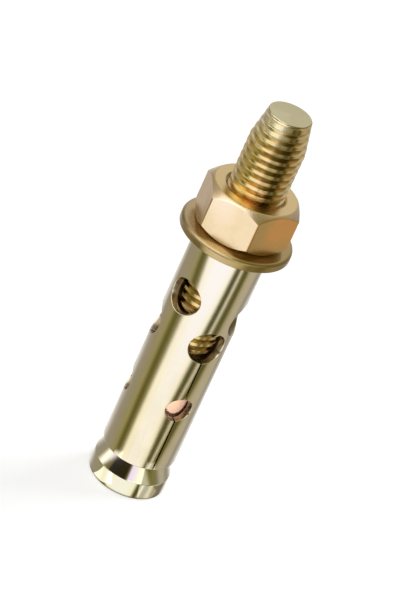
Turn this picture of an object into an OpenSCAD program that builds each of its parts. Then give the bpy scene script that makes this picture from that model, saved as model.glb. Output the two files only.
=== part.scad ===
// Sleeve anchor: a cone-ended threaded stud inside a slit, perforated sleeve,
// with a washer and a hex nut. It stands on the stud's cone end, +Z up the stud.

/* [Stud] */
// Length of the whole stud
stud_len = 93; // [86:0.5:140]
// Major diameter of the thread
thread_d = 12; // [11:0.1:12.8]
// Diameter of the plain shank below the thread
shank_d = 10.8; // [9.5:0.1:11]
// Length of the plain shank above the cone
shank_len = 20; // [8:0.5:24]
// Diameter of the stud's end face
end_d = 9.3; // [8:0.1:10.5]
// Height of the taper that leads to the end face
end_taper = 7; // [2:0.1:9]

/* [Cone] */
// Diameter of the cone's rim
rim_d = 16.7; // [16.2:0.1:18]
// Height of the rim, from the foot to the start of the cone
rim_h = 3.95; // [2:0.05:6]
// Half angle of the cone
cone_angle = 23; // [14:1:40]
// Edge break round the foot, outwards
foot_break = 0.35; // [0.1:0.05:1]
// Edge break round the foot, upwards
foot_break_h = 0.5; // [0.1:0.05:1.2]
// Rounding of the edge between rim and cone
rim_round = 0.5; // [0.1:0.05:0.9]

/* [Sleeve] */
// Length of the sleeve
sleeve_len = 54.7; // [46:0.1:60]
// Thickness of the sleeve's wall
sleeve_wall = 1.5; // [0.8:0.1:2]
// Clearance between the thread and the sleeve's bore
sleeve_gap = 0.5; // [0.3:0.05:1]
// Clearance between the sleeve's seat and the cone
seat_gap = 0.05; // [0.02:0.01:0.2]
// Height of the conical seat inside the sleeve's lower end
seat_h = 0.6; // [0.4:0.1:2.5]
// Edge break round the sleeve's ends
sleeve_break = 0.25; // [0.1:0.05:0.4]

/* [Holes in the sleeve] */
// Number of holes in each ring
hole_count = 3; // [2:1:3]
// Diameter of the large holes
large_hole_d = 7.8; // [5:0.1:8.6]
// Diameter of the small holes
small_hole_d = 5.7; // [3:0.1:7]
// Height of the upper ring of large holes above the sleeve's lower end
upper_ring_h = 41.1; // [36:0.1:43]
// Height of the lower ring of large holes above the sleeve's lower end
lower_ring_h = 32.2; // [26:0.1:34]
// Height of the ring of small holes above the sleeve's lower end
small_ring_h = 16; // [10:0.1:20]
// Direction of the front hole of the upper ring
upper_turn = -124; // [-180:1:180]
// Direction of the front hole of the two lower rings
lower_turn = -54.5; // [-180:0.5:180]
// How much lower the other holes of the upper ring sit
upper_drop = 3; // [0:0.1:4]
// How much lower the other holes of the two lower rings sit
lower_drop = 1.2; // [0:0.1:4]
// Width of the slits
slit_w = 0.35; // [0.2:0.05:1.5]

/* [Washer] */
// Outer diameter of the washer
washer_d = 24; // [20:0.5:30]
// Thickness of the washer
washer_t = 2.1; // [1.5:0.1:3]
// Clearance between the thread and the washer's bore
washer_gap = 0.5; // [0.2:0.05:1]
// Rounding of the washer's upper edge
washer_round = 0.8; // [0.2:0.05:1]
// Rounding of the washer's lower edge
washer_under_round = 0.35; // [0.1:0.05:0.5]

/* [Nut] */
// Width across the nut's flats
nut_flats = 18.7; // [17:0.1:20]
// Height of the nut
nut_h = 9.9; // [7:0.1:12]
// Diameter that the nut's corners are rounded to
nut_corner_d = 21.4; // [20.9:0.1:21.5]
// Diameter of the nut's flat end faces
nut_face_d = 17.9; // [15:0.1:18.6]
// Angle of the nut's chamfers above its end faces
nut_chamfer = 44; // [20:1:55]
// Running clearance between the thread and the nut's bore
nut_gap = 0.05; // [0.03:0.01:0.1]
// Widening of the nut's bore at its end faces
countersink = 0.6; // [0.2:0.05:1]
// Turn of the nut about the stud
nut_turn = -42.5; // [-60:0.5:60]

/* [Fit of the stack] */
// Gap left between pieces that touch end to end
face_gap = 0.02; // [0.01:0.01:0.1]

/* [Hidden] */
$fn = 96;
cut_over = 1;

thread_r = thread_d / 2;
shank_r = shank_d / 2;
end_r = end_d / 2;
end_break = 0.2;

rim_r = rim_d / 2;
cone_slope = tan(cone_angle);
cone_top_z = rim_h + (rim_r - shank_r) / cone_slope;
thread_z = cone_top_z + shank_len;

// The seat in the sleeve's lower edge has the cone's own slope.
bore_r = thread_r + sleeve_gap;
sleeve_r = bore_r + sleeve_wall;
seat_mouth_r = bore_r + seat_h * cone_slope;
sleeve_z = rim_h + (rim_r - seat_mouth_r) / cone_slope + seat_gap / sin(cone_angle);

washer_z = sleeve_z + sleeve_len + face_gap;
nut_z = washer_z + washer_t + face_gap;

// Points of an arc in the (radius, height) plane, from one angle to another
function arc(cx, cz, r, from, to, steps = 6) =
    [for (i = [0 : steps]) let (a = from + (to - from) * i / steps) [cx + r * cos(a), cz + r * sin(a)]];

// How far the other holes of a ring sit below its front hole
function ring_drop(k, drop) = k == 0 ? 0 : drop;

module cone_stud() {
    // The rounding between rim and cone touches both.
    round_z = rim_h - rim_round * tan(cone_angle / 2);
    color("darkkhaki")
    rotate_extrude()
    polygon(concat(
        [[0, 0], [rim_r - foot_break, 0], [rim_r, foot_break_h]],
        arc(rim_r - rim_round, round_z, rim_round, 0, cone_angle),
        [
            [shank_r, cone_top_z],
            [shank_r, thread_z],
            [thread_r, thread_z + (thread_r - shank_r)],
            [thread_r, stud_len - end_taper],
            [end_r, stud_len - end_break],
            [end_r - end_break, stud_len],
            [0, stud_len]
        ]
    ));
}

module hole_ring(d, height, drop, turn) {
    for (k = [0 : hole_count - 1])
        rotate([0, 0, turn + 360 * k / hole_count])
        translate([0, 0, sleeve_z + height - ring_drop(k, drop)])
        rotate([0, 90, 0])
        cylinder(h = sleeve_r + cut_over, d = d);
}

// A slit runs from each large hole of the lower ring out through the sleeve's lower end.
module slits() {
    for (k = [0 : hole_count - 1])
        rotate([0, 0, lower_turn + 360 * k / hole_count])
        translate([bore_r / 2, -slit_w / 2, sleeve_z - cut_over])
        cube([sleeve_r, slit_w, lower_ring_h - ring_drop(k, lower_drop) + cut_over]);
}

module expansion_sleeve() {
    sleeve_top = sleeve_z + sleeve_len;
    color("goldenrod")
    difference() {
        rotate_extrude()
        polygon([
            [seat_mouth_r, sleeve_z],
            [sleeve_r - sleeve_break, sleeve_z],
            [sleeve_r, sleeve_z + sleeve_break],
            [sleeve_r, sleeve_top - sleeve_break],
            [sleeve_r - sleeve_break, sleeve_top],
            [bore_r, sleeve_top],
            [bore_r, sleeve_z + seat_h]
        ]);
        hole_ring(large_hole_d, upper_ring_h, upper_drop, upper_turn);
        hole_ring(large_hole_d, lower_ring_h, lower_drop, lower_turn);
        hole_ring(small_hole_d, small_ring_h, lower_drop, lower_turn);
        slits();
    }
}

module flat_washer() {
    washer_r = washer_d / 2;
    washer_top = washer_z + washer_t;
    washer_bore_r = thread_r + washer_gap;
    color("darkgoldenrod")
    rotate_extrude()
    polygon(concat(
        [[washer_bore_r, washer_z]],
        arc(washer_r - washer_under_round, washer_z + washer_under_round, washer_under_round, -90, 0),
        arc(washer_r - washer_round, washer_top - washer_round, washer_round, 0, 90),
        [[washer_bore_r, washer_top]]
    ));
}

// The nut's bore, with a countersink at each face
module nut_bore() {
    nut_bore_r = thread_r + nut_gap;
    mouth_r = nut_bore_r + countersink + cut_over;
    translate([0, 0, -cut_over]) cylinder(h = nut_h + 2 * cut_over, r = nut_bore_r);
    translate([0, 0, -cut_over]) cylinder(h = countersink + cut_over, r1 = mouth_r, r2 = nut_bore_r);
    translate([0, 0, nut_h - countersink]) cylinder(h = countersink + cut_over, r1 = nut_bore_r, r2 = mouth_r);
}

module hex_nut() {
    corner_r = nut_corner_d / 2;
    face_r = nut_face_d / 2;
    chamfer_h = (corner_r - face_r) * tan(nut_chamfer);
    color("peru")
    translate([0, 0, nut_z])
    difference() {
        intersection() {
            rotate([0, 0, nut_turn - 90])
            cylinder(h = nut_h, d = nut_flats / cos(30), $fn = 6);
            rotate_extrude()
            polygon([
                [0, 0],
                [face_r, 0],
                [corner_r, chamfer_h],
                [corner_r, nut_h - chamfer_h],
                [face_r, nut_h],
                [0, nut_h]
            ]);
        }
        nut_bore();
    }
}

cone_stud();
expansion_sleeve();
flat_washer();
hex_nut();
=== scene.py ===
"""Sleeve anchor: a cone-ended threaded stud, a slit perforated sleeve, a washer and a hex nut."""

import math

import bpy
from mathutils import Matrix, Vector


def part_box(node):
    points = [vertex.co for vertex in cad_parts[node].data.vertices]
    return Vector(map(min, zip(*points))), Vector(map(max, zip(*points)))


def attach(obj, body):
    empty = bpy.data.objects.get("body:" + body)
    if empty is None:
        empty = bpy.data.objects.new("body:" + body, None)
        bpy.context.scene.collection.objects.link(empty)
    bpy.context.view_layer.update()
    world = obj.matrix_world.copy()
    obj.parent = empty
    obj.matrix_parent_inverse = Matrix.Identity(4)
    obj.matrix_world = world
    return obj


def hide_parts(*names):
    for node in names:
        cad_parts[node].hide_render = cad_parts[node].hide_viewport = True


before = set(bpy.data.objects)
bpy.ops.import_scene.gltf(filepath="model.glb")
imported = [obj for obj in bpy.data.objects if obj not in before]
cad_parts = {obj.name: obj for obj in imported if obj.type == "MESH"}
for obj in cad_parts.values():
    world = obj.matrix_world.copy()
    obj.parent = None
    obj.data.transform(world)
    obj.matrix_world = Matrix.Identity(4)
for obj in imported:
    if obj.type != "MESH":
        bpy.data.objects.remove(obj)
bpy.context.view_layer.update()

MM = 0.001
TURN = 2 * math.pi

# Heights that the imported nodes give, in millimetres
FOOT_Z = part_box("cone_stud")[0][2] / MM
STUD_TOP_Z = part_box("cone_stud")[1][2] / MM
SLEEVE_LOW_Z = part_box("expansion_sleeve")[0][2] / MM
SLEEVE_TOP_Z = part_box("expansion_sleeve")[1][2] / MM
WASHER_LOW_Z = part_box("flat_washer")[0][2] / MM
WASHER_TOP_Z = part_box("flat_washer")[1][2] / MM
NUT_LOW_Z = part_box("hex_nut")[0][2] / MM
NUT_TOP_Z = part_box("hex_nut")[1][2] / MM

# Radii and heights of the stud, in millimetres
THREAD_R = 6.0
SHANK_R = 5.4
END_R = 4.65
END_TAPER = 7.0
END_BREAK = 0.25
THREAD_LOW_Z = FOOT_Z + 30.9
THREAD_RUN_IN = 0.2
PITCH = 1.75
THREAD_MEAN_R = 5.65
THREAD_OFFSET = 0.66
ROOT_TAPER = 0.13
RIM_R = 8.35
RIM_H = 3.95
CONE_ANGLE = 23.0
FOOT_BREAK = 0.35
RIM_ROUND = 0.5
CONE_BLEND_H = 0.4

# The sleeve, rolled from flat strip
SLEEVE_R = 8.0
SLEEVE_WALL = 1.5
STRIP_R = SLEEVE_R - SLEEVE_WALL / 2
LARGE_HOLE_R = 3.8
SMALL_HOLE_R = 2.78
HOLE_ROUND = 0.12
SLEEVE_BREAK = 0.25
SEAT_BREAK = 0.5
SLIT_W = 0.32
SEAM_TURN = 120.25
UPPER_COLUMNS = (-34, 86, 206)
LOWER_COLUMNS = (34.5, 154.5, -85.5)
UPPER_RING_H = (41.1, 38.1, 38.1)
LOWER_RING_H = (32.2, 31.0, 31.0)
SMALL_RING_H = (16.0, 14.8, 14.8)

# The washer and the nut
WASHER_R = 12.0
WASHER_BORE_R = 6.5
WASHER_ROUND = 0.8
WASHER_UNDER_ROUND = 0.35
WASHER_BORE_BREAK = 0.2
NUT_FLATS = 18.7
NUT_CORNER_R = 10.7
NUT_FACE_R = 8.95
NUT_CHAMFER = 44.0
NUT_CORNER_ROUND = 0.3
NUT_CORNER_TURN = -42.5
NUT_FACE_TURN = -12.5
NUT_GAP = 0.05
COUNTERSINK = 0.6

# A small edge break, how far a cutting tool reaches past a piece, and how near points are welded
SMALL_BREAK = 0.15
OVER = 1
WELD = 0.0005
SEAM_WELD = 0.002

# The camera: its place on the view's own axes, its height angle and its roll
CAMERA_HEIGHT_ANGLE = 30.0
CAMERA_ROLL = 24.569
CAMERA_RIGHT = -15.647
CAMERA_UP = -36.598
CAMERA_BACK = 702.532
LENS_MM = 299.05
FILM_MM = 36.0


def millimetres(*numbers):
    """Numbers in millimetres, as a tuple in the scene's metres."""
    return tuple(number * MM for number in numbers)


def arc(centre_r, centre_z, radius, start, end, steps=5):
    """Points of an arc in the (radius, height) plane, between two angles in degrees."""
    points = []
    for i in range(steps + 1):
        angle = math.radians(start + (end - start) * i / steps)
        points.append((centre_r + radius * math.cos(angle), centre_z + radius * math.sin(angle)))
    return points


def pick(piece):
    """Makes one object the only selected one, and the active one."""
    bpy.ops.object.select_all(action="DESELECT")
    piece.select_set(True)
    bpy.context.view_layer.objects.active = piece


def apply_place(piece):
    """Leaves one object at the origin, unturned and unscaled, with its shape where it was."""
    pick(piece)
    bpy.ops.object.transform_apply(location=True, rotation=True, scale=True)


def apply_modifier(piece, kind, **settings):
    """Adds one modifier with its settings, and applies it."""
    pick(piece)
    modifier = piece.modifiers.new(kind.lower(), kind)
    for name, value in settings.items():
        setattr(modifier, name, value)
    bpy.ops.object.modifier_apply(modifier=modifier.name)


def carve(piece, tool, operation="DIFFERENCE"):
    """Cuts a piece with another one, or keeps what both share, and removes the tool."""
    apply_modifier(piece, "BOOLEAN", object=tool, operation=operation, solver="EXACT")
    bpy.data.objects.remove(tool)


def turned(name, outline, steps=256):
    """A piece turned about Z from an outline of (radius, height) points in millimetres."""
    bpy.ops.object.select_all(action="DESELECT")
    bpy.ops.mesh.primitive_plane_add(size=MM)
    piece = bpy.context.object
    piece.name = name
    bpy.ops.object.mode_set(mode="EDIT")
    bpy.ops.mesh.select_all(action="SELECT")
    bpy.ops.mesh.merge(type="CENTER")
    bpy.ops.transform.translate(value=millimetres(outline[0][0], 0, outline[0][1]))
    for here, there in zip(outline, outline[1:]):
        step = millimetres(there[0] - here[0], 0, there[1] - here[1])
        bpy.ops.mesh.extrude_vertices_move(TRANSFORM_OT_translate={"value": step})
    bpy.ops.mesh.select_all(action="SELECT")
    bpy.ops.mesh.spin(steps=steps, angle=TURN, center=(0, 0, 0), axis=(0, 0, 1))
    bpy.ops.mesh.select_all(action="SELECT")
    bpy.ops.mesh.remove_doubles(threshold=WELD * MM)
    bpy.ops.mesh.normals_make_consistent(inside=False)
    bpy.ops.object.mode_set(mode="OBJECT")
    return piece


def threaded_rod(name, low_z, high_z, growth=0.0, tapered=False):
    """A rod whose round section sits off the axis and climbs the helix: its far side is the crest.

    It is made with the start of the stud's end taper at height zero, where its own taper starts.
    """
    taper_z = STUD_TOP_Z - END_TAPER
    first_turn = math.floor((low_z - THREAD_LOW_Z) / PITCH)
    start_z = THREAD_LOW_Z + first_turn * PITCH
    turns = math.ceil((high_z - start_z) / PITCH)
    bpy.ops.object.select_all(action="DESELECT")
    bpy.ops.mesh.primitive_circle_add(
        vertices=48, radius=(THREAD_MEAN_R + growth) * MM,
        location=millimetres(THREAD_OFFSET, 0, start_z - taper_z))
    rod = bpy.context.object
    rod.name = name
    apply_place(rod)
    apply_modifier(rod, "SCREW", angle=TURN, screw_offset=PITCH * MM, iterations=turns,
                   steps=32, render_steps=32)
    if tapered:
        length = (turns + 1) * PITCH
        below = taper_z - start_z
        factor = -ROOT_TAPER * (length - below) / END_TAPER
        apply_modifier(rod, "SIMPLE_DEFORM", deform_method="TAPER", deform_axis="Z",
                       limits=(below / length, 1.0), factor=factor)
    rod.location = millimetres(0, 0, taper_z)
    apply_place(rod)
    bpy.ops.object.mode_set(mode="EDIT")
    bpy.ops.mesh.select_all(action="SELECT")
    bpy.ops.mesh.remove_doubles(threshold=WELD * MM)
    bpy.ops.mesh.fill_holes(sides=0)
    bpy.ops.mesh.select_all(action="SELECT")
    bpy.ops.mesh.normals_make_consistent(inside=False)
    bpy.ops.object.mode_set(mode="OBJECT")
    return rod


def smooth(piece, angle=32):
    """Shades a piece smooth, apart from edges that are sharper than an angle in degrees."""
    pick(piece)
    bpy.ops.object.shade_smooth_by_angle(angle=math.radians(angle))


def make_stud():
    """The stud with its rim, cone, shank and end taper, and the thread cut into it."""
    slope = math.tan(math.radians(CONE_ANGLE))
    cone_top = RIM_H + (RIM_R - SHANK_R) / slope
    round_z = RIM_H - RIM_ROUND * math.tan(math.radians(CONE_ANGLE / 2))
    outline = [(0, FOOT_Z), (RIM_R - FOOT_BREAK - SMALL_BREAK, FOOT_Z)]
    outline += arc(RIM_R - FOOT_BREAK, FOOT_Z + FOOT_BREAK, FOOT_BREAK, -80, 0)
    outline += arc(RIM_R - RIM_ROUND, FOOT_Z + round_z, RIM_ROUND, 0, CONE_ANGLE)
    outline += [
        (SHANK_R + SMALL_BREAK, FOOT_Z + cone_top - SMALL_BREAK / slope),
        (SHANK_R, FOOT_Z + cone_top + CONE_BLEND_H),
        (SHANK_R, THREAD_LOW_Z),
        (THREAD_R, THREAD_LOW_Z + THREAD_R - SHANK_R),
        (THREAD_R, STUD_TOP_Z - END_TAPER),
    ]
    outline += arc(END_R - END_BREAK, STUD_TOP_Z - END_BREAK, END_BREAK, 10, 90)
    outline += [(0, STUD_TOP_Z)]
    stud = turned("threaded_stud", outline)
    groove = turned("groove", [
        (0, THREAD_LOW_Z + THREAD_RUN_IN),
        (THREAD_R + OVER, THREAD_LOW_Z + THREAD_RUN_IN),
        (THREAD_R + OVER, STUD_TOP_Z + OVER),
        (0, STUD_TOP_Z + OVER),
    ], steps=96)
    carve(groove, threaded_rod("thread", THREAD_LOW_Z - OVER, STUD_TOP_Z + 2 * OVER, tapered=True))
    carve(stud, groove)
    smooth(stud)
    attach(stud, "stud")
    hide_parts("cone_stud")
    return stud


def strip_x(turn):
    """Where a direction round the sleeve lies along the flat strip, which the seam cuts open."""
    from_middle = turn - (SEAM_TURN - 180)
    wrapped = (from_middle + 180) % 360 - 180
    return STRIP_R * math.radians(wrapped)


def punch(strip, radius, turn, height):
    """A punched hole, with its rims rounded over on both faces of the strip.

    The tool's roundings stand a little proud of the faces, so that the cut is clean.
    """
    face = SLEEVE_WALL / 2
    proud = 0.004
    wide = radius + HOLE_ROUND
    outline = [(0, -face - OVER), (wide, -face - OVER)]
    outline += arc(wide, -face + HOLE_ROUND - proud, HOLE_ROUND, 270, 180, 4)
    outline += arc(wide, face - HOLE_ROUND + proud, HOLE_ROUND, 180, 90, 4)
    outline += [(wide, face + OVER), (0, face + OVER)]
    tool = turned("punch", outline, steps=96)
    tool.rotation_euler = (math.radians(90), 0, 0)
    tool.location = millimetres(strip_x(turn), 0, height)
    apply_place(tool)
    carve(strip, tool)


def slit(strip, turn, height):
    """A slit from a height out through the strip's lower edge."""
    middle = millimetres(strip_x(turn), 0, height / 2 - OVER)
    bpy.ops.object.select_all(action="DESELECT")
    bpy.ops.mesh.primitive_cube_add(size=MM, location=middle)
    tool = bpy.context.object
    tool.scale = (SLIT_W, SLEEVE_WALL + 2 * OVER, height + 2 * OVER)
    apply_place(tool)
    carve(strip, tool)


def select_edges(piece, wanted):
    """Selects the edges whose two ends pass a test on their places in millimetres."""
    pick(piece)
    bpy.ops.object.mode_set(mode="EDIT")
    bpy.ops.mesh.select_mode(type="EDGE")
    bpy.ops.mesh.select_all(action="DESELECT")
    bpy.ops.object.mode_set(mode="OBJECT")
    for edge in piece.data.edges:
        ends = [piece.data.vertices[i].co / MM for i in edge.vertices]
        edge.select = wanted(*ends)
    bpy.ops.object.mode_set(mode="EDIT")


def break_edges(piece, wanted, width, segments=3):
    """Bevels the edges that pass a test."""
    select_edges(piece, wanted)
    bpy.ops.mesh.bevel(offset=width * MM, segments=segments, affect="EDGES")
    bpy.ops.mesh.select_mode(type="VERT")
    bpy.ops.object.mode_set(mode="OBJECT")


def make_sleeve():
    """The sleeve, cut as a flat strip with its holes and slits, and then rolled up."""
    length = SLEEVE_TOP_Z - SLEEVE_LOW_Z
    half = SLEEVE_WALL / 2
    round_length = TURN * STRIP_R
    bpy.ops.object.select_all(action="DESELECT")
    bpy.ops.mesh.primitive_grid_add(
        x_subdivisions=360, y_subdivisions=1, size=MM, location=millimetres(0, 0, length / 2),
        rotation=(math.radians(90), 0, 0))
    strip = bpy.context.object
    strip.name = "rolled_sleeve"
    strip.scale = (round_length, length, 1)
    apply_place(strip)
    apply_modifier(strip, "SOLIDIFY", thickness=SLEEVE_WALL * MM, offset=0)
    near = 0.01

    def upper(a, b):
        return min(a.z, b.z) > length - near

    def lower(a, b):
        return max(a.z, b.z) < near

    def outer(a, b):
        return max(a.y, b.y) < near - half

    def inner(a, b):
        return min(a.y, b.y) > half - near

    break_edges(strip, lambda a, b: upper(a, b) and outer(a, b), SLEEVE_BREAK)
    break_edges(strip, lambda a, b: lower(a, b) and outer(a, b), SLEEVE_BREAK)
    break_edges(strip, lambda a, b: lower(a, b) and inner(a, b), SEAT_BREAK, 1)
    for turn, height in zip(UPPER_COLUMNS, UPPER_RING_H):
        punch(strip, LARGE_HOLE_R, turn, height)
    for turn, height in zip(LOWER_COLUMNS, LOWER_RING_H):
        slit(strip, turn, height)
        punch(strip, LARGE_HOLE_R, turn, height)
    for turn, height in zip(LOWER_COLUMNS, SMALL_RING_H):
        punch(strip, SMALL_HOLE_R, turn, height)
    roll_up(strip, round_length)
    strip.location = millimetres(0, 0, SLEEVE_LOW_Z)
    apply_place(strip)
    smooth(strip)
    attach(strip, "sleeve")
    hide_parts("expansion_sleeve")
    return strip


def roll_up(strip, round_length):
    """Rolls the flat strip into a tube and welds its seam shut."""
    pick(strip)
    bpy.ops.object.mode_set(mode="EDIT")
    bpy.ops.mesh.select_mode(type="FACE")
    bpy.ops.mesh.select_all(action="DESELECT")
    bpy.ops.object.mode_set(mode="OBJECT")
    for face in strip.data.polygons:
        at_end = abs(face.center.x / MM) > round_length / 2 - 0.001
        face.select = at_end and abs(face.normal.x) > 0.9
    bpy.ops.object.mode_set(mode="EDIT")
    bpy.ops.mesh.delete(type="ONLY_FACE")
    bpy.ops.mesh.select_mode(type="VERT")
    bpy.ops.object.mode_set(mode="OBJECT")
    apply_modifier(strip, "SIMPLE_DEFORM", deform_method="BEND", angle=TURN, deform_axis="Z")
    strip.location = millimetres(0, -STRIP_R, 0)
    apply_place(strip)
    strip.rotation_euler = (0, 0, math.radians(SEAM_TURN - 180))
    apply_place(strip)
    bpy.ops.object.mode_set(mode="EDIT")
    bpy.ops.mesh.select_all(action="SELECT")
    bpy.ops.mesh.remove_doubles(threshold=SEAM_WELD * MM)
    bpy.ops.mesh.normals_make_consistent(inside=False)
    bpy.ops.object.mode_set(mode="OBJECT")


def make_washer():
    """The washer, rounder along its upper edge, as pressing leaves it."""
    outline = [(WASHER_BORE_R, WASHER_LOW_Z + SMALL_BREAK), (WASHER_BORE_R + SMALL_BREAK, WASHER_LOW_Z)]
    outline += arc(
        WASHER_R - WASHER_UNDER_ROUND, WASHER_LOW_Z + WASHER_UNDER_ROUND, WASHER_UNDER_ROUND, -90, 0)
    outline += arc(WASHER_R - WASHER_ROUND, WASHER_TOP_Z - WASHER_ROUND, WASHER_ROUND, 0, 90, 8)
    outline += [
        (WASHER_BORE_R + WASHER_BORE_BREAK, WASHER_TOP_Z),
        (WASHER_BORE_R, WASHER_TOP_Z - WASHER_BORE_BREAK),
        outline[0],
    ]
    washer = turned("pressed_washer", outline)
    smooth(washer)
    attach(washer, "washer")
    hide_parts("flat_washer")
    return washer


def countersink(name, face_z, out):
    """The cone that widens the nut's bore at one end face; out is 1 upwards and -1 downwards."""
    mouth_r = THREAD_R + NUT_GAP + COUNTERSINK
    depth = 2
    outline = [
        (0, face_z + out * OVER),
        (mouth_r + OVER, face_z + out * OVER),
        (mouth_r - depth, face_z - out * depth),
        (0, face_z - out * depth),
    ]
    return turned(name, outline)


def make_nut():
    """The nut: a hexagonal bar, chamfered at both ends, with a tapped and countersunk bore."""
    height = NUT_TOP_Z - NUT_LOW_Z
    across_corners = NUT_FLATS / math.cos(math.radians(30))
    bpy.ops.object.select_all(action="DESELECT")
    bpy.ops.mesh.primitive_cylinder_add(
        vertices=6, radius=across_corners / 2 * MM, depth=height * MM,
        location=millimetres(0, 0, NUT_LOW_Z + height / 2),
        rotation=(0, 0, math.radians(NUT_CORNER_TURN)))
    nut = bpy.context.object
    nut.name = "chamfered_nut"
    apply_place(nut)
    break_edges(nut, lambda a, b: abs(a.z - b.z) > 1, NUT_CORNER_ROUND)
    drop = (NUT_CORNER_R - NUT_FACE_R) * math.tan(math.radians(NUT_CHAMFER))
    rolled_r = NUT_FACE_R + 0.1
    rolled_h = 0.12
    chamfers = turned("chamfers", [
        (0, NUT_LOW_Z),
        (NUT_FACE_R - SMALL_BREAK, NUT_LOW_Z),
        (rolled_r, NUT_LOW_Z + rolled_h),
        (NUT_CORNER_R, NUT_LOW_Z + drop),
        (NUT_CORNER_R, NUT_TOP_Z - drop),
        (rolled_r, NUT_TOP_Z - rolled_h),
        (NUT_FACE_R - SMALL_BREAK, NUT_TOP_Z),
        (0, NUT_TOP_Z),
    ])
    carve(nut, chamfers, "INTERSECT")
    carve(nut, threaded_rod("tapped_bore", NUT_LOW_Z - OVER, NUT_TOP_Z + OVER, NUT_GAP))
    for name, face_z, out in (("lower_mouth", NUT_LOW_Z, -1), ("upper_mouth", NUT_TOP_Z, 1)):
        carve(nut, countersink(name, face_z, out))
    smooth(nut, 20)
    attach(nut, "nut")
    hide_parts("hex_nut")
    return nut


class Signal:
    """A number socket that Python operators combine through Math nodes."""

    def __init__(self, sheet, socket):
        self.sheet = sheet
        self.socket = socket

    def math(self, operation, *others, **settings):
        """The result of one Math node."""
        node = self.sheet.add("ShaderNodeMath", operation=operation, **settings)
        for place, value in enumerate((self,) + others):
            self.sheet.feed(node.inputs[place], value)
        return Signal(self.sheet, node.outputs[0])

    def __add__(self, other):
        return self.math("ADD", other)

    def __radd__(self, other):
        return self.math("ADD", other)

    def __sub__(self, other):
        return self.math("SUBTRACT", other)

    def __rsub__(self, other):
        return (self * -1.0).math("ADD", other)

    def __mul__(self, other):
        return self.math("MULTIPLY", other)

    def __rmul__(self, other):
        return self.math("MULTIPLY", other)

    def __truediv__(self, other):
        return self.math("DIVIDE", other)

    def power(self, exponent):
        return self.math("POWER", exponent)

    def clamped(self):
        """The number, held between 0 and 1."""
        return self.math("ADD", 0.0, use_clamp=True)

    def ramp(self, low, high):
        """0 below low, 1 above high, and smooth between."""
        node = self.sheet.add("ShaderNodeMapRange", interpolation_type="SMOOTHSTEP")
        self.sheet.feed(node.inputs["Value"], self)
        node.inputs["From Min"].default_value = low
        node.inputs["From Max"].default_value = high
        return Signal(self.sheet, node.outputs[0])


class Sheet:
    """The node tree of one material or world."""

    def __init__(self, owner):
        owner.use_nodes = True
        self.tree = owner.node_tree
        self.tree.nodes.clear()

    def add(self, kind, **settings):
        """A new node with its settings."""
        node = self.tree.nodes.new(kind)
        for name, value in settings.items():
            setattr(node, name, value)
        return node

    def feed(self, socket, value):
        """Links a signal or a socket to an input, or sets the input to a plain value."""
        if isinstance(value, Signal):
            self.tree.links.new(value.socket, socket)
        elif isinstance(value, bpy.types.NodeSocket):
            self.tree.links.new(value, socket)
        else:
            socket.default_value = value

    def node(self, kind, settings=None, **sockets):
        """Any node, from its type, its settings and the values or links of its sockets."""
        node = self.add(kind, **(settings or {}))
        for name, value in sockets.items():
            self.feed(node.inputs[name.replace("_", " ")], value)
        return node

    def mix(self, factor, first, second):
        """A colour between two colours."""
        node = self.add("ShaderNodeMix", data_type="RGBA")
        self.feed(node.inputs[0], factor)
        for socket, value in ((node.inputs[6], first), (node.inputs[7], second)):
            self.feed(socket, value if isinstance(value, bpy.types.NodeSocket) else (*value, 1.0))
        return node.outputs[2]

    def place(self, z=1.0):
        """Object coordinates in millimetres, with their own scale along the stud."""
        coordinates = self.add("ShaderNodeTexCoord")
        mapping = self.add("ShaderNodeMapping")
        self.feed(mapping.inputs["Vector"], coordinates.outputs["Object"])
        mapping.inputs["Scale"].default_value = (1 / MM, 1 / MM, z / MM)
        return mapping.outputs[0]

    def noise(self, place, scale, detail, roughness, distortion=0.0):
        """Noise with a scale in features per millimetre."""
        node = self.node(
            "ShaderNodeTexNoise", {"noise_dimensions": "3D"}, Vector=place, Scale=scale,
            Detail=detail, Roughness=roughness, Distortion=distortion)
        return Signal(self, node.outputs[0])


# The clear chromate film over the zinc, and the depth of its grain in millimetres
COAT_WEIGHT = 0.25
COAT_ROUGHNESS = 0.12
GRAIN_DEPTH = 0.02


def patch(mask, tone, roughness, metallic=1.0, grain=1.0):
    """A part of a surface with its own tone and finish, from a function that gives its mask."""
    return mask, tone, roughness, metallic, grain


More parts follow.
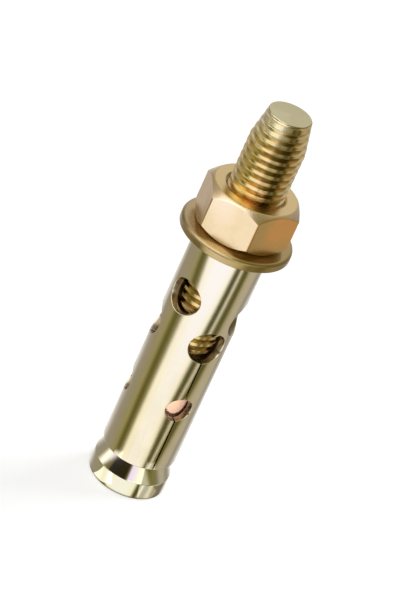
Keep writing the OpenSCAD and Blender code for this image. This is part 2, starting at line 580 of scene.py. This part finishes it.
def plating(name, tones, roughness, grain, streak, patches):
    """Yellow chromate over zinc: three tones that drift over it, fine grain and soft streaks."""
    material = bpy.data.materials.new(name)
    sheet = Sheet(material)
    place = sheet.place()
    drift = sheet.noise(place, 0.16, 3.0, 0.55, 0.6)
    bloom = sheet.noise(place, 0.42, 4.0, 0.6, 0.3)
    speck = sheet.noise(place, 6.5, 3.0, 0.7)
    fine = sheet.noise(place, 22.0, 2.0, 0.6)
    along = sheet.noise(sheet.place(z=0.05), 3.0, 3.0, 0.6)
    colour = sheet.mix(drift.ramp(0.38, 0.64), tones[0], tones[1])
    colour = sheet.mix(bloom.ramp(0.52, 0.74) * 0.6, colour, tones[2])
    mottle = (speck.ramp(0.55, 0.8) * 0.35 + along.ramp(0.5, 0.8) * streak).clamped()
    colour = sheet.mix(mottle, colour, tuple(0.72 * part for part in tones[2]))
    rough = roughness + (bloom - 0.5) * 0.08 + (speck - 0.5) * 0.06
    rough = rough + (along - 0.5) * 0.08 * (0.4 + streak)
    height = fine * 0.5 + speck * 0.8 + along * streak + bloom * 2.5
    metal = 1.0
    x, y, z = split_place(sheet)
    for mask_of, tone, patch_roughness, patch_metallic, patch_grain in patches:
        mask = mask_of(x, y, z, bloom)
        colour = sheet.mix(mask, colour, tone)
        rough = rough * (1.0 - mask) + mask * patch_roughness
        if patch_grain != 1.0:
            height = height * (1.0 - mask * (1.0 - patch_grain))
        if patch_metallic != 1.0:
            metal = metal - mask * (1.0 - patch_metallic)
    bump = sheet.node("ShaderNodeBump", Strength=grain, Distance=GRAIN_DEPTH * MM, Height=height)
    shader = sheet.node(
        "ShaderNodeBsdfPrincipled", Base_Color=colour, Roughness=rough.clamped(), Metallic=metal,
        Normal=bump.outputs[0], Coat_Weight=COAT_WEIGHT, Coat_Roughness=COAT_ROUGHNESS)
    output = sheet.add("ShaderNodeOutputMaterial")
    sheet.feed(output.inputs["Surface"], shader.outputs[0])
    return material


def split_place(sheet):
    """Object coordinates in millimetres, one signal for each axis."""
    split = sheet.node("ShaderNodeSeparateXYZ", Vector=sheet.place())
    return tuple(Signal(sheet, split.outputs[i]) for i in range(3))


def distance(x, y):
    """How far a place is from the stud's axis."""
    return (x * x + y * y).power(0.5)


def toward(x, y, turn):
    """How far out a place is in one direction, which is given by its turn from the front."""
    angle = math.radians(turn)
    return x * math.sin(angle) - y * math.cos(angle)


def facing(x, y, turn):
    """1 on the side that faces one direction, 0 a quarter turn from it."""
    return toward(x, y, turn) / distance(x, y)


def shaded_thread_roots(x, y, z, bloom):
    """Painted shade in the roots of the thread, which are darker than its crests; they are also duller.
    """
    taper = (z - (STUD_TOP_Z - END_TAPER)).math("MAXIMUM", 0.0) * ((THREAD_R - END_R) / END_TAPER)
    depth = THREAD_R - taper - distance(x, y)
    return depth.ramp(0.25, 0.9) * z.ramp(THREAD_LOW_Z, THREAD_LOW_Z + 1) * 0.85


def shaded_flank(x, y, z, bloom):
    """Painted shade: a darker, greener, duller streak down the stud's free end."""
    return facing(x, y, 20).ramp(0.91, 0.98) * z.ramp(SLEEVE_TOP_Z, NUT_TOP_Z) * 0.8


def highlight_flank(x, y, z, bloom):
    """Painted highlight: a paler streak down the stud's free end."""
    return facing(x, y, -44).ramp(0.88, 0.985) * z.ramp(SLEEVE_TOP_Z, NUT_TOP_Z) * 0.85


def amber_bloom(x, y, z, bloom):
    """An orange bloom on the turns just above the nut."""
    low = 1.0 - z.ramp(NUT_TOP_Z + 1.5, NUT_TOP_Z + 7.5)
    front = facing(x, y, 2).ramp(0.90, 0.99)
    return low * front * z.ramp(NUT_TOP_Z - 3, NUT_TOP_Z) * bloom.ramp(0.30, 0.55) * 0.7


def taper_highlight(x, y, z, bloom):
    """Painted highlight: the end taper, paler and silvery on its front left."""
    return z.ramp(STUD_TOP_Z - 6, STUD_TOP_Z - 2) * facing(x, y, -40).ramp(0.5, 0.9) * 0.65


def end_face(x, y, z, bloom):
    """The stud's sawn end."""
    return z.ramp(STUD_TOP_Z - 0.12, STUD_TOP_Z - 0.05) * 0.9


def bare_shank(x, y, z, bloom):
    """The plain shank, which is copper pink and dull."""
    return z.ramp(12.0, 14.0) * (1.0 - z.ramp(THREAD_LOW_Z - 0.5, THREAD_LOW_Z + 0.3)) * 0.9


def cone_end(x, y, z, bloom):
    """The rim and the cone, which were turned smoother than the rest."""
    return 1.0 - z.ramp(11.0, 12.5)


def violet_and_shaded_cone(x, y, z, bloom):
    """The chromate's grey violet tint on the cone's front, with painted shade that darkens it there."""
    cone = z.ramp(RIM_H, RIM_H + 0.4) * (1.0 - z.ramp(10, 11))
    return cone * facing(x, y, -8).ramp(0.84, 0.97) * 0.85


def foot_contact_shade(x, y, z, bloom):
    """Painted shade: the dark edge that the anchor stands on."""
    return (1.0 - z.ramp(0.3, 0.7)) * 0.85


def rim_dark_reflection(x, y, z, bloom):
    """Painted dark reflection: a brown band on the rim."""
    return facing(x, y, 61).ramp(0.955, 0.99) * (1.0 - z.ramp(3.4, 3.9)) * 0.85


def sleeve_front_highlight(x, y, z, bloom):
    """Painted highlight: the sleeve's front is paler and whiter towards the washer."""
    return z.ramp(SLEEVE_LOW_Z + 4, SLEEVE_TOP_Z) * facing(x, y, 0).ramp(0.55, 0.9) * 0.95


def punched_wall_and_shade(x, y, z, bloom):
    """The walls of the punched holes and slits, which are duller as punched, and darker with painted
    shade.
    """
    return (1.0 - distance(x, y).ramp(7.6, 7.95)) * 0.9


def bore_shade(x, y, z, bloom):
    """Painted shade: the sleeve's inner wall, darker and duller."""
    return (1.0 - distance(x, y).ramp(6.52, 6.7)) * 0.9


def olive_side(x, y, z, bloom):
    """The one face of the nut that came out brown."""
    return toward(x, y, 60 + NUT_FACE_TURN).ramp(9.05, 9.3)


def copper_bloom(x, y, z, bloom):
    """Copper on the upper outer part of the brown face."""
    upper = z.ramp(NUT_LOW_Z + 0.5, NUT_LOW_Z + 5.5)
    outer = facing(x, y, 75 + NUT_FACE_TURN).ramp(0.80, 0.97)
    return olive_side(x, y, z, bloom) * (0.25 + 0.75 * upper * outer) * (0.7 + bloom * 0.5)


def pale_bloom(x, y, z, bloom):
    """A paler, pinker patch high on the front face's outer side."""
    front = toward(x, y, NUT_FACE_TURN).ramp(9.0, 9.25)
    outer = facing(x, y, NUT_FACE_TURN - 24).ramp(0.85, 0.99)
    return front * z.ramp(NUT_LOW_Z + 2, NUT_TOP_Z - 1) * outer * 0.8


def tan_side(x, y, z, bloom):
    """The nut's face on the left, which is more tan than the others."""
    return toward(x, y, NUT_FACE_TURN - 60).ramp(9.05, 9.3) * 0.9


def nut_top_face(x, y, z, bloom):
    """The nut's upper end face."""
    return z.ramp(NUT_TOP_Z - 0.25, NUT_TOP_Z - 0.05) * 0.9


def washer_shade_half(x, y, z, bloom):
    """Painted shade: the washer's darker, browner half."""
    return toward(x, y, 62).ramp(3.0, 8.5) * 0.75


# Three tones for each piece: the main one, a duller one and a warmer or paler one
STUD_TONES = ((0.80, 0.62, 0.31), (0.73, 0.58, 0.29), (0.84, 0.64, 0.36))
SLEEVE_TONES = ((0.84, 0.76, 0.59), (0.80, 0.73, 0.55), (0.86, 0.75, 0.60))
WASHER_TONES = ((0.56, 0.42, 0.22), (0.50, 0.39, 0.20), (0.66, 0.51, 0.32))
NUT_TONES = ((0.84, 0.67, 0.46), (0.80, 0.64, 0.42), (0.90, 0.72, 0.54))


def dress(piece, material):
    """Gives a piece one material."""
    piece.data.materials.clear()
    piece.data.materials.append(material)


def make_camera():
    """The photograph's camera: a long lens at a fitted place."""
    camera_data = bpy.data.cameras.new("photo_camera")
    camera = bpy.data.objects.new("photo_camera", camera_data)
    bpy.context.scene.collection.objects.link(camera)
    height = math.radians(CAMERA_HEIGHT_ANGLE)
    roll = math.radians(CAMERA_ROLL)
    level_up = (0, math.sin(height), math.cos(height))
    right = (math.cos(roll), math.sin(roll) * level_up[1], math.sin(roll) * level_up[2])
    up = (-math.sin(roll), math.cos(roll) * level_up[1], math.cos(roll) * level_up[2])
    ahead = (0, math.cos(height), -math.sin(height))
    rows = []
    for i in range(3):
        spot = -(CAMERA_RIGHT * right[i] + CAMERA_UP * up[i] + CAMERA_BACK * ahead[i]) * MM
        rows.append((right[i], up[i], -ahead[i], spot))
    rows.append((0, 0, 0, 1))
    camera.matrix_world = Matrix(rows)
    camera_data.sensor_fit = "HORIZONTAL"
    camera_data.sensor_width = FILM_MM
    camera_data.lens = LENS_MM
    bpy.context.scene.camera = camera


def make_floor():
    """A plain pale floor, which catches the shadow and stays white to the camera."""
    bpy.ops.object.select_all(action="DESELECT")
    bpy.ops.mesh.primitive_plane_add(size=6.0)
    floor = bpy.context.object
    floor.name = "studio_floor"
    material = bpy.data.materials.new("pale_floor")
    sheet = Sheet(material)
    rays = sheet.add("ShaderNodeLightPath")
    seen = Signal(sheet, rays.outputs["Is Camera Ray"])
    paper = sheet.node("ShaderNodeBsdfDiffuse", Color=(0.8, 0.8, 0.8, 1))
    glow = sheet.node("ShaderNodeEmission", Color=(1, 1, 1, 1), Strength=seen * 0.50)
    both = sheet.add("ShaderNodeAddShader")
    sheet.feed(both.inputs[0], paper.outputs[0])
    sheet.feed(both.inputs[1], glow.outputs[0])
    output = sheet.add("ShaderNodeOutputMaterial")
    sheet.feed(output.inputs["Surface"], both.outputs[0])
    dress(floor, material)
    floor.visible_glossy = False


def make_world():
    """White for the camera, plain grey for the light, and a painted studio for what shines.

    The studio has five zones, one above the other. Each has its own bright and dark bands, which
    are given by their turn from the front in degrees.
    """
    world = bpy.data.worlds.new("light_tent")
    bpy.context.scene.world = world
    sheet = Sheet(world)
    coordinates = sheet.add("ShaderNodeTexCoord")
    split = sheet.node("ShaderNodeSeparateXYZ", Vector=coordinates.outputs["Generated"])
    x, y, z = (Signal(sheet, split.outputs[i]) for i in range(3))
    turn = x.math("ARCTAN2", y * -1.0) * (180 / math.pi)
    away = turn.math("ABSOLUTE")

    def band(middle, half_width, soft):
        """1 within half a width of a turn, 0 outside it, with soft edges."""
        return 1.0 - (turn - middle).math("ABSOLUTE").ramp(half_width - soft, half_width + soft)

    # Below the horizon, which upright walls reflect
    front = band(-2.5, 42, 6)
    side = 0.36 + 0.55 * away.ramp(122, 178) + 0.16 * band(106, 20, 14)
    dark = 0.62 * band(-62, 9, 8) + 0.72 * band(49, 7, 6)
    dark = dark + 0.7 * band(74, 8, 7) + 0.25 * band(143, 14, 9)
    line = 0.36 * band(60, 3.5, 3)
    low = side * (1.0 - dark.clamped()) + line
    low = low * (1.0 - front) + front * 1.15
    low = low * (1.0 - 0.6 * away.ramp(169, 176))
    # Round the horizon, which the stud's end taper reflects in part
    horizon = 0.24 + 0.35 * band(-90, 12, 10) - 0.10 * band(40, 30, 10) + 0.4 * away.ramp(120, 178)
    horizon = horizon + 1.0 * band(-48, 42, 12)
    # Just above it, which the cone reflects
    card = 0.24 + 0.20 * band(-90, 12, 8) - 0.20 * band(-24, 26, 4) + 0.4 * away.ramp(120, 178)
    card = card + 1.25 * band(28, 20, 4) + 0.40 * band(62, 16, 8)
    # Higher up, which level faces reflect, and overhead, which the nut's chamfer reflects
    high = 0.42 + 1.1 * band(-42, 52, 14) - 0.20 * band(62, 42, 12) + 0.36 * away.ramp(120, 175)
    top = 0.45 + 1.1 * band(-45, 60, 12) - 0.18 * band(55, 32, 12) + 0.15 * away.ramp(80, 120)
    # The zones blend at their heights, which are given as the sine of the height angle.
    over_low = z.ramp(-0.14, -0.04)
    over_horizon = z.ramp(0.02, 0.07)
    over_card = z.ramp(0.34, 0.44)
    over_high = z.ramp(0.72, 0.82)
    shine = low * (1.0 - over_low) + horizon * over_low * (1.0 - over_horizon)
    shine = shine + card * over_horizon * (1.0 - over_card) + high * over_card * (1.0 - over_high)
    shine = shine + top * over_high
    # Darker parts are more golden, the sides are warm, and the back is nearly white.
    rays = sheet.add("ShaderNodeLightPath")
    glossy = Signal(sheet, rays.outputs["Is Glossy Ray"])
    seen = Signal(sheet, rays.outputs["Is Camera Ray"])
    strength = glossy * shine + seen + (1.0 - seen - glossy).clamped() * 0.35
    golden = sheet.mix(shine.ramp(0.1, 0.9), (1.0, 0.88, 0.25), (1.0, 1.0, 1.0))
    golden = sheet.mix(away.ramp(20, 36) * (1.0 - away.ramp(40, 52)) * 0.8, golden, (1.0, 0.96, 0.74))
    golden = sheet.mix(away.ramp(72, 112), golden, (1.0, 0.91, 0.74))
    golden = sheet.mix(away.ramp(118, 150), golden, (1.0, 0.97, 0.93))
    tint = sheet.mix(glossy, (1.0, 1.0, 1.0), golden)
    background = sheet.node("ShaderNodeBackground", Color=tint, Strength=strength)
    output = sheet.add("ShaderNodeOutputWorld")
    sheet.feed(output.inputs["Surface"], background.outputs[0])


def make_lamp(name, spot, size, watts, aim=(0, 0, 0.045)):
    """A square soft lamp, in metres. It lights what is dull; metal reflects the painted world."""
    lamp_data = bpy.data.lights.new(name, "AREA")
    lamp_data.size = size
    lamp_data.energy = watts
    lamp = bpy.data.objects.new(name, lamp_data)
    bpy.context.scene.collection.objects.link(lamp)
    place = Vector(spot)
    lamp.location = place
    beam = Vector(aim) - place
    lamp.rotation_euler = beam.to_track_quat("-Z", "Y").to_euler()
    lamp.visible_camera = False
    lamp.visible_glossy = False
    return lamp


def make_card(name, turn, reach, width, depth, level):
    """A bright card on the floor, in millimetres, that only the rim is near enough to reflect."""
    angle = math.radians(turn)
    spot = millimetres(reach * math.sin(angle), -reach * math.cos(angle), 0.05)
    watts = level * math.pi * width * depth * MM * MM
    card = make_lamp(name, spot, width * MM, watts, aim=(spot[0], spot[1], 1.0))
    card.data.shape = "RECTANGLE"
    card.data.size_y = depth * MM
    card.rotation_euler = (math.pi, 0, -angle)
    card.visible_diffuse = False
    card.visible_glossy = True


stud = make_stud()
sleeve = make_sleeve()
washer = make_washer()
nut = make_nut()

dress(stud, plating("stud_plating", STUD_TONES, 0.13, 0.5, 0.7, (
    # painted shade in the thread's roots
    patch(shaded_thread_roots, (0.34, 0.23, 0.08), 0.26),
    # painted shade down one side of the stud's free end
    patch(shaded_flank, (0.24, 0.18, 0.05), 0.16),
    # painted highlight down the front left of the stud's free end
    patch(highlight_flank, (1.0, 0.86, 0.50), 0.18),
    patch(amber_bloom, (0.98, 0.68, 0.36), 0.18),
    # painted highlight on the end taper's front left
    patch(taper_highlight, (0.90, 0.84, 0.66), 0.16),
    patch(end_face, (0.70, 0.65, 0.40), 0.36),
    patch(bare_shank, (0.98, 0.62, 0.46), 0.42, metallic=0.35),
    patch(cone_end, (0.80, 0.76, 0.60), 0.07, grain=0.1),
    # the cone's violet tint, darkened there as painted shade
    patch(violet_and_shaded_cone, (0.54, 0.45, 0.56), 0.08, grain=0.1),
    # painted dark reflection on one side of the rim
    patch(rim_dark_reflection, (0.30, 0.24, 0.11), 0.2),
    # painted shade along the edge the anchor stands on
    patch(foot_contact_shade, (0.22, 0.19, 0.10), 0.3))))
dress(sleeve, plating("sleeve_plating", SLEEVE_TONES, 0.11, 0.15, 0.3, (
    # painted highlight, whiter on the sleeve's front towards the washer
    patch(sleeve_front_highlight, (0.86, 0.81, 0.77), 0.11),
    # duller punched walls, darkened with painted shade
    patch(punched_wall_and_shade, (0.27, 0.21, 0.14), 0.34),
    # painted shade inside the sleeve
    patch(bore_shade, (0.40, 0.30, 0.16), 0.45))))
dress(washer, plating("washer_plating", WASHER_TONES, 0.28, 0.5, 0.1, (
    # painted shade on one half of the washer
    patch(washer_shade_half, (0.42, 0.30, 0.09), 0.30),)))
dress(nut, plating("nut_plating", NUT_TONES, 0.24, 0.6, 0.1, (
    patch(olive_side, (0.66, 0.48, 0.22), 0.24),
    patch(copper_bloom, (1.0, 0.52, 0.19), 0.24),
    patch(pale_bloom, (0.92, 0.77, 0.64), 0.24),
    patch(tan_side, (0.84, 0.60, 0.34), 0.26),
    patch(nut_top_face, (0.78, 0.59, 0.27), 0.28))))

make_camera()
make_floor()
make_world()
make_lamp("left_softbox", (-0.45, -0.5, 0.55), 0.35, 0.8)
make_lamp("top_softbox", (0.35, 0.35, 0.6), 0.3, 2.0)
make_lamp("low_softbox", (0.10, -0.5, 0.03), 0.05, 4.0)
make_card("left_card", -38, 12.4, 7.5, 6.2, 1.0)
make_card("right_card", 50, 13.0, 9.0, 7.0, 0.45)

bpy.context.scene.view_settings.view_transform = "Standard"
